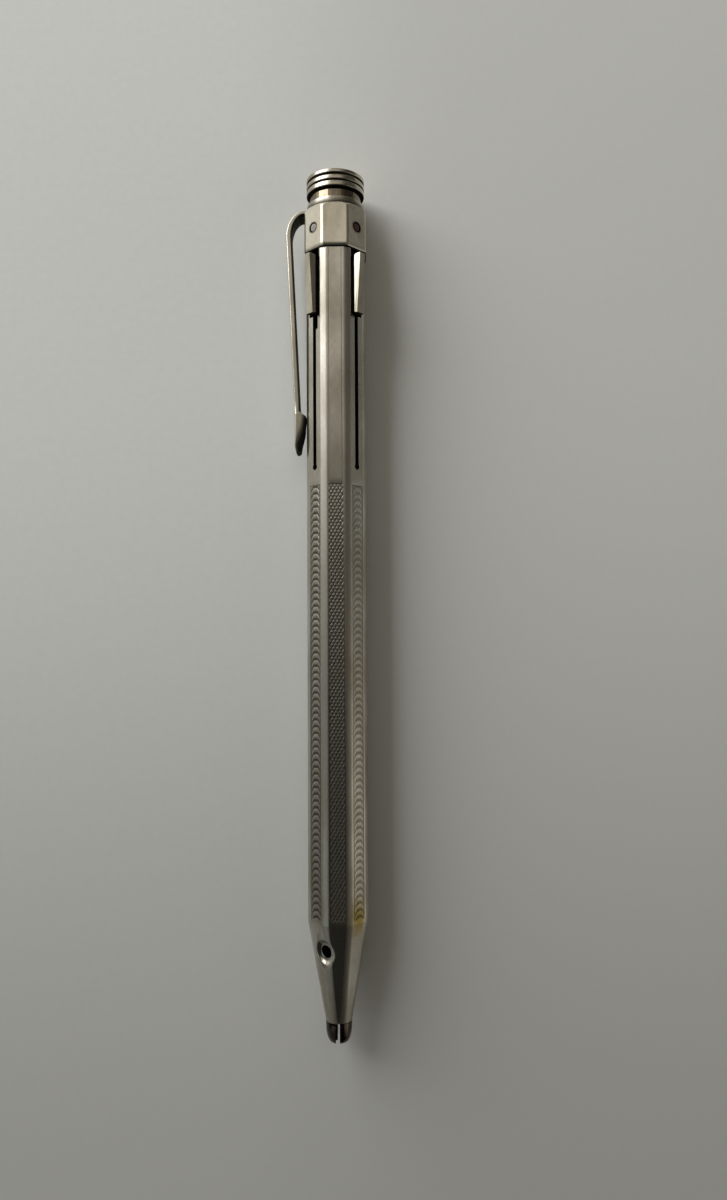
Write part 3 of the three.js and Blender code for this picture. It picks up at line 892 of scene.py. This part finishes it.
def make_top_ring(material):
    low, high = ends("top_ring")
    flange = half_across("top_ring")
    bore, spigot, shelf = 3.85, 4.03, low + 1.1
    outline = [(bore, low), (spigot, low), (spigot, shelf), (flange, shelf), (flange, high), (bore, high)]

    # Painted shade under the flange and in the bore
    def grime_and_shade_at(r, s):
        return min(max((shelf + 0.16 - s) / 0.08, 0), 1) if r > bore + 0.1 else 1

    piece = lathe("top_ring_turned", rounded(outline, 0.12), grime_and_shade_at)
    dress(piece, material, "pencil", ["top_ring"])


def make_dot(index, face, material):
    """An enamel dot with a rounded edge, which lies in its hole in the collar."""
    node = f"colour_dot_{index}"
    at = sum(ends(node)) / 2
    low, high = TENON_RADIUS + SEAT_GAP, COLLAR_FLAT - 0.05
    turn = math.radians(face)
    outline = rounded([(0, low), (DOT_RADIUS, low), (DOT_RADIUS, high), (0, high)], 0.12)
    vertices, faces, rows = [], [], []
    for r, h in outline:
        rows.append([len(vertices) + (0 if r < 1e-6 else i) for i in range(DOT_SIDES)])
        for i in range(1 if r < 1e-6 else DOT_SIDES):
            angle = 2 * math.pi * i / DOT_SIDES
            x = r * math.cos(angle)
            vertices.append((x * math.cos(turn) + h * math.sin(turn), at + r * math.sin(angle),
                             -x * math.sin(turn) + h * math.cos(turn)))
    for low_row, high_row in zip(rows[:-1], rows[1:]):
        for i in range(DOT_SIDES):
            following = (i + 1) % DOT_SIDES
            corners = dict.fromkeys((low_row[i], low_row[following], high_row[following], high_row[i]))
            if len(corners) > 2:
                faces.append(tuple(corners))
    piece = mesh_object(f"{node}_enamel", vertices, faces)
    dress(piece, material, "pencil", [node])


def rounded_loop(middle, outward, deep_out, deep_in, half_width, under=None):
    """A cross-section of the clip, a box with rounded corners. The first axis points away from the barrel.

    under is how far from the barrel side the lower corners are cut away, and the width left at the keel.
    """
    planes = [(1, 0, deep_out), (-1, 0, deep_in), (0, 1, half_width), (0, -1, half_width)]
    if under:
        cut, keel = under
        slope, length = half_width - keel, math.hypot(half_width - keel, cut)
        for side in (1, -1):
            planes.append((-slope / length, side * cut / length, (slope * deep_in + cut * keel) / length))
    loop = []
    for k in range(CLIP_SIDES):
        angle = 2 * math.pi * (k + 0.5) / CLIP_SIDES
        out, up = math.cos(angle) * (deep_out + deep_in) / 2, math.sin(angle) * half_width
        reach = sum(max((nx * out + ny * up) / h, 0) ** CLIP_SHARPNESS for nx, ny, h in planes)
        out, up = out / reach ** (1 / CLIP_SHARPNESS), up / reach ** (1 / CLIP_SHARPNESS)
        loop.append((-(middle[0] + outward[0] * out), middle[1] + outward[1] * out, up))
    return loop


def strip_loop(outer, inner, half_width):
    outer, inner = np.array(outer), np.array(inner)
    thickness = np.linalg.norm(outer - inner)
    half = thickness / 2
    return rounded_loop((outer + inner) / 2, (outer - inner) / thickness, half, half, half_width)


def between(at, stops):
    """A smooth value along the clip from (station, value) stops listed from high to low stations."""
    for (high, a), (low, b) in zip(stops[:-1], stops[1:]):
        if at >= low:
            t = min(max((high - at) / (high - low), 0), 1)
            return a + (b - a) * t * t * (3 - 2 * t)
    return stops[-1][1]


def make_clip(material):
    """A sprung strip bent out of the collar, ending in a boat-shaped foot with a rounded toe."""
    low, top = ends("clip")
    reach = -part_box("clip")[0].x / MM
    root, root_thick, thick, half = 4.105, CLIP_ROOT_THICKNESS, 0.85, 1.75
    bend_from, bend_at = COLLAR_FLAT + SEAT_GAP, top - 3.85
    arm_length, lean = 26.8, 1.25
    arm_end_at = bend_at - arm_length
    foot_from = arm_end_at + 0.95
    loops = [strip_loop((d, top), (d, top - root_thick), half) for d in (root, 4.3, bend_from)]
    for k in range(1, 21):
        a = math.radians(90 - 4.5 * k)
        outer = (bend_from + (reach - bend_from) * math.cos(a), bend_at + (top - bend_at) * math.sin(a))
        inner = (bend_from + (reach - thick - bend_from) * math.cos(a),
                 bend_at + (top - root_thick - bend_at) * math.sin(a))
        loops.append(strip_loop(outer, inner, half))
    for k in range(1, 19):
        at = bend_at + (foot_from - bend_at) * k / 18
        d = reach - lean * (bend_at - at) / (bend_at - arm_end_at)
        loops.append(strip_loop((d, at), (d - thick, at), half))
    outer_end = reach - lean
    contact = BARREL_FLAT + SEAT_GAP
    # The foot's inner side, its half widths, and how its lower corners are cut away, each by station
    keel = [(foot_from, outer_end - thick + 0.04), (foot_from - 0.15, outer_end - thick),
            (arm_end_at, contact), (arm_end_at - 1.7, contact), (low, contact + 0.75)]
    widths = [(foot_from, half), (arm_end_at + 0.3, 2.05), (low + 1.3, 2.05), (low, 1.45)]
    cuts = [(foot_from, 0.05), (arm_end_at, 0.1), (low + 1.1, 0.75), (low, 0.6)]
    keel_widths = [(foot_from, half - 0.1), (arm_end_at, 1.9), (arm_end_at - 1.9, 0.6), (low, 0.5)]
    count, deep_out = 44, 0.42
    for k in range(1, count + 1):
        at = foot_from + (low - foot_from) * (1 - (1 - k / count) ** 1.15)
        shrink = math.sqrt(max(1 - max((low + 0.42 - at) / 0.43, 0) ** 2, 0.02))
        outer_d = outer_end - 0.2 * max(low + 1.1 - at, 0) / 1.1 + lean * max(at - arm_end_at, 0) / arm_length
        middle = outer_d - deep_out
        under = (between(at, cuts) * shrink, between(at, keel_widths) * shrink)
        deep_in = (middle - between(at, keel)) * shrink
        loops.append(rounded_loop((middle, at), (1, 0), deep_out * shrink, deep_in,
                                  between(at, widths) * shrink, under))
    vertices = [point for loop in loops for point in loop]
    faces = [tuple(range(CLIP_SIDES)), tuple(range(len(vertices) - 1, len(vertices) - 1 - CLIP_SIDES, -1))]
    for row in range(len(loops) - 1):
        for k in range(CLIP_SIDES):
            here, following = row * CLIP_SIDES + k, row * CLIP_SIDES + (k + 1) % CLIP_SIDES
            faces.append((here, here + CLIP_SIDES, following + CLIP_SIDES, following))
    piece = mesh_object("clip_strip", vertices, faces, 60)
    shape = bmesh.new()
    shape.from_mesh(piece.data)
    bmesh.ops.recalc_face_normals(shape, faces=shape.faces)
    shape.to_mesh(piece.data)
    shape.free()
    dress(piece, material, "clip_arm", ["clip"])


def soften(node_name, width, segments=3, angle=28):
    """Rounds the edges of a CAD node with modifiers."""
    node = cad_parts[node_name]
    weld = node.modifiers.new("weld", "WELD")
    weld.merge_threshold = 0.000002
    bevel = node.modifiers.new("bevel", "BEVEL")
    bevel.width = width * MM
    bevel.segments = segments
    bevel.limit_method = "ANGLE"
    bevel.angle_limit = math.radians(angle)
    bevel.harden_normals = False
    node.modifiers.new("normals", "WEIGHTED_NORMAL").keep_sharp = True
    node.data.shade_smooth()


def make_spring(material):
    """The return spring, a coil of wire from the barrel up to the funnel."""
    low, high = ends("return_spring")
    radius = half_across("return_spring") - WIRE_RADIUS
    steps = SPRING_TURNS * STEPS_PER_TURN
    vertices, faces = [], []
    for k in range(steps + 1):
        angle = 2 * math.pi * SPRING_TURNS * k / steps
        station = low + WIRE_RADIUS + (high - low - 2 * WIRE_RADIUS) * k / steps
        for i in range(WIRE_SIDES):
            turn = 2 * math.pi * i / WIRE_SIDES
            reach = radius + WIRE_RADIUS * math.cos(turn)
            rise = WIRE_RADIUS * math.sin(turn)
            vertices.append((reach * math.sin(angle), station + rise, reach * math.cos(angle)))
    for k in range(steps):
        for i in range(WIRE_SIDES):
            a, b = WIRE_SIDES * k + i, WIRE_SIDES * k + (i + 1) % WIRE_SIDES
            faces.append((a, a + WIRE_SIDES, b + WIRE_SIDES, b))
    last = WIRE_SIDES * steps
    faces.append(tuple(range(WIRE_SIDES)))
    faces.append(tuple(range(last + WIRE_SIDES - 1, last - 1, -1)))
    piece = mesh_object("spring_coil", vertices, faces, 60)
    piece.data.materials.append(material)
    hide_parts("return_spring")
    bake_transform(piece)


def make_floor():
    """Pale paper, with painted shade on the right and towards the tip."""
    bpy.ops.mesh.primitive_plane_add(size=3, location=(0, 0, cad_box[0].z))
    floor = bpy.context.object
    floor.name = "floor"
    material, shader, nodes = new_material("paper")
    fibres = nodes.noise((900, 900, 900), 4, 0.6)
    paper = nodes.ramp(fibres, [(0.3, (0.91, 0.925, 0.9)), (0.7, (0.94, 0.955, 0.935))])
    split = nodes.add("ShaderNodeSeparateXYZ")
    nodes.link(nodes.add("ShaderNodeTexCoord").outputs["Object"], split.inputs["Vector"])
    # Painted shade: darker towards the tip, and on the right where the pencil's shadow falls
    near = nodes.range(split.outputs["Y"], 0.04, -0.09, 0, 0.62, smooth=True)
    right = nodes.range(split.outputs["X"], -0.02, 0.02, 0, 0.5, smooth=True)
    paper = nodes.mix(right, paper, (0.7, 0.7, 0.665))
    nodes.link(nodes.mix(near, paper, (0.42, 0.425, 0.41)), shader.inputs["Base Color"])
    shader.inputs["Roughness"].default_value = 0.9
    floor.data.materials.append(material)


def make_window():
    """A long soft window on the left, beyond the cap, turned towards the line of the pencil."""
    data = bpy.data.lights.new("window", "AREA")
    data.shape = "RECTANGLE"
    data.size = LAMP_WIDTH
    data.size_y = LAMP_LENGTH
    data.energy = LAMP_WATTS
    lamp = bpy.data.objects.new("window", data)
    lift = math.radians(LAMP_LIFT)
    lamp.location = (-LAMP_DISTANCE * math.cos(lift), LAMP_ALONG, LAMP_DISTANCE * math.sin(lift))
    lamp.rotation_euler = (0, lift - math.pi / 2, 0)
    bpy.context.scene.collection.objects.link(lamp)


def make_world():
    """A dark room with bright patches on the left, on the right and towards the cap.

    A smaller bluish patch lies on the left, towards the tip. They are placed for the metal's reflections.
    """
    world = bpy.data.worlds.new("room")
    world.use_nodes = True
    nodes = Nodes(world.node_tree)
    background = world.node_tree.nodes["Background"]
    place = nodes.add("ShaderNodeTexCoord")
    split = nodes.add("ShaderNodeSeparateXYZ")
    nodes.link(place.outputs["Generated"], split.inputs["Vector"])
    across, along = split.outputs["X"], split.outputs["Y"]

    def step(axis, start, stop, low, high):
        return nodes.range(axis, start, stop, low, high, smooth=True)

    left = nodes.product(step(across, -0.7, -0.96, 0, 1), step(along, -0.05, 0.5, 0.03, 1.05))
    far = nodes.product(step(along, 0.08, 0.36, 0, 0.64), step(across, 0.15, 0.65, 1, 0.08),
                        step(along, 0.5, 0.66, 1, 0.2), step(across, -0.6, -0.3, 0.2, 1))
    right = nodes.product(step(across, 0.6, 1, 0, 1), step(along, 0.24, -0.2, 0.02, 0.78))
    end_wall = step(along, 0.74, 0.88, 0, 0.35)
    near = nodes.product(step(along, -0.2, -0.27, 0, 0.8), step(along, -0.3, -0.55, 1, 0.2),
                         step(across, -0.35, -0.6, 0, 1), step(across, -0.92, -0.82, 0, 1))
    level = nodes.math("ADD", nodes.math("ADD", left, right), nodes.math("ADD", far, 0.02))
    for part in (end_wall, near):
        level = nodes.math("ADD", level, part)
    cool = nodes.range(near, 0, 0.3, 0, 1)
    nodes.link(nodes.mix(cool, (1, 0.93, 0.81), (0.84, 0.96, 0.95)), background.inputs["Color"])
    nodes.link(level, background.inputs["Strength"])
    bpy.context.scene.world = world


make_camera()
make_floor()
make_window()
make_world()
bpy.context.scene.view_settings.view_transform = "Standard"

stain_place = (2.75, 18.3 + TIP / MM, AXIS / MM + 3.1)
body_silver = silver("silver_body", (0.56, 0.54, 0.48), (0.38, 0.35, 0.29), 0.24, engraved=True,
                     stain=(stain_place, (1.9, 3.8, 2.1)))
collar_silver = silver("silver_collar", (0.66, 0.63, 0.54), (0.46, 0.42, 0.33), 0.24, engraved=True)
cap_silver = silver("silver_cap", (0.6, 0.57, 0.48), (0.36, 0.33, 0.26), 0.24, engraved=True)
# The clip's inner side gets painted shade
clip_silver = silver("silver_clip", (0.62, 0.6, 0.52), (0.42, 0.39, 0.32), 0.26, shade_right_faces=True)
slider_silver = silver("silver_slider", (0.52, 0.49, 0.4), (0.34, 0.31, 0.24), 0.34)
neck_silver = silver("silver_neck", (0.3, 0.26, 0.19), (0.14, 0.115, 0.08), 0.15)
# Near-black painted shade for the inside, the walls of the openings and the lead funnel
inside_shade = inside_shade_material("painted_inside_shade")
dark_steel = plain_metal("jaw_steel", (0.11, 0.085, 0.07), (0.04, 0.032, 0.028), 0.11)
# Spring wire painted dark, as shade inside the pencil
shaded_spring_steel = plain_metal("spring_wire", (0.12, 0.11, 0.1), (0.06, 0.055, 0.05), 0.35)
# Brass painted near black, as shade inside the pencil
brass = plain_metal("brass", (0.1, 0.075, 0.04), (0.03, 0.024, 0.016), 0.45)

make_barrel([body_silver, inside_shade])
make_collar([collar_silver, inside_shade])
make_top_ring(cap_silver)
make_push_cap(cap_silver)
make_clip(clip_silver)

dot_looks = [
    ("grey", (0.5, 0.49, 0.44), (0.3, 0.29, 0.26)),
    ("red", (0.1, 0.014, 0.01), (0.03, 0.006, 0.005)),
    ("blue", (0.03, 0.06, 0.2), (0.01, 0.015, 0.05)),
    ("green", (0.03, 0.12, 0.05), (0.01, 0.03, 0.012)),
]
for number, (face, (word, colour, dark)) in enumerate(zip(SLIDER_FACES, dot_looks), 1):
    make_dot(number, face, enamel(f"enamel_{word}", colour, dark))
    dress(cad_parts[f"slider_{number}"], slider_silver)
    soften(f"slider_{number}", 0.1)
    dress(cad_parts[f"lead_holder_{number}"], brass)
    dress(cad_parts[f"lead_{number}"], graphite(f"lead_{word}_grain", colour, dark))

for name, material in (("plunger_sleeve", neck_silver), ("lead_funnel", inside_shade),
                       ("lead_guide", brass), ("jaw_left", dark_steel), ("jaw_right", dark_steel)):
    dress(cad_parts[name], material)
make_spring(shaded_spring_steel)
soften("jaw_left", 0.05, 2)
soften("jaw_right", 0.05, 2)
